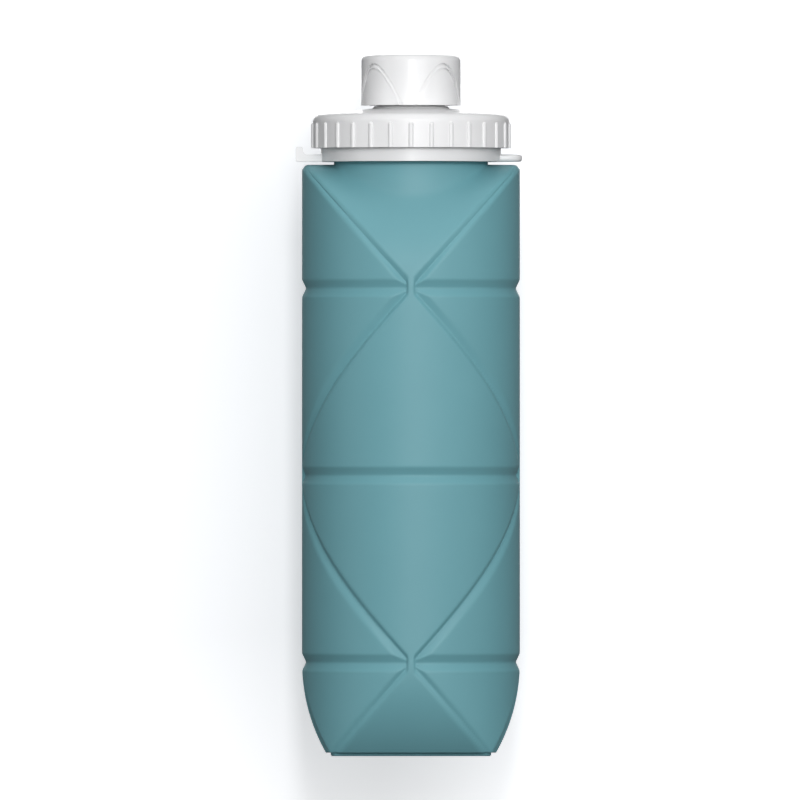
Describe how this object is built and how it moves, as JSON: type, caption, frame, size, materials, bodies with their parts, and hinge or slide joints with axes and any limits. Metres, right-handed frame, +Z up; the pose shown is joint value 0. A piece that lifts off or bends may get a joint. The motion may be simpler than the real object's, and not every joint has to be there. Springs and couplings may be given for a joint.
{
  "type": "folding water bottle",
  "caption": "Round silicone drinking bottle that folds down along V-groove fold lines, with a ribbed screw lid, a neck ring with side lugs and a capped spout.",
  "frame": {"origin": "middle of the foot, on the surface that the bottle stands on", "axes": "+Z up along the bottle's axis, -Y is the front, the hooked lug is at -X"},
  "size_m": [0.0745, 0.0716, 0.23],
  "materials": {
    "silicone": "satin matt moulded silicone",
    "ring_plastic": "semi-gloss moulded",
    "insert_plastic": "semi-gloss moulded",
    "lid_plastic": "semi-gloss moulded",
    "cap_plastic": "semi-gloss moulded",
    "seal_silicone": "matt silicone"
  },
  "bodies": {
    "base": {"body_foot": "silicone", "body_lower_fold": "silicone"},
    "waist": {"body_waist": "silicone"},
    "neck": {"body_shoulder": "silicone", "body_upper_fold": "silicone", "neck_ring": "ring_plastic", "clamp_insert": "insert_plastic"},
    "lid_gasket": {"lid_gasket": "seal_silicone"},
    "lid": {"lid": "lid_plastic"},
    "spout_seal": {"spout_seal": "seal_silicone"},
    "spout_cap": {"spout_cap": "cap_plastic"}
  },
  "joints": [
    {"name": "fold", "type": "slide", "parent": "base", "child": "neck", "axis": [0, 0, -1], "range_m": [0, 0.08], "deforming": ["body_upper_fold"]},
    {"name": "waist_drop", "type": "slide", "parent": "base", "child": "waist", "axis": [0, 0, -1], "range_m": [0, 0.04], "deforming": ["body_lower_fold"]},
    {"name": "lid_rise", "type": "slide", "parent": "neck", "child": "lid_gasket", "axis": [0, 0, 1], "range_m": [0, 0.00458]},
    {"name": "lid_turn", "type": "hinge", "parent": "lid_gasket", "child": "lid", "pos_m": [0, 0, 0.2], "axis": [0, 0, 1], "range_deg": [0, 550]},
    {"name": "spout_seal_rise", "type": "slide", "parent": "lid", "child": "spout_seal", "axis": [0, 0, 1], "range_m": [0, 0.00412]},
    {"name": "spout_cap_turn", "type": "hinge", "parent": "spout_seal", "child": "spout_cap", "pos_m": [0, 0, 0.22], "axis": [0, 0, 1], "range_deg": [0, 550]}
  ],
  "couplings": [
    {"joint": "waist_drop", "follows": "fold", "ratio": 0.5},
    {"joint": "lid_turn", "follows": "lid_rise", "rad_per_m": 2094.4},
    {"joint": "spout_cap_turn", "follows": "spout_seal_rise", "rad_per_m": 2327.1}
  ]
}
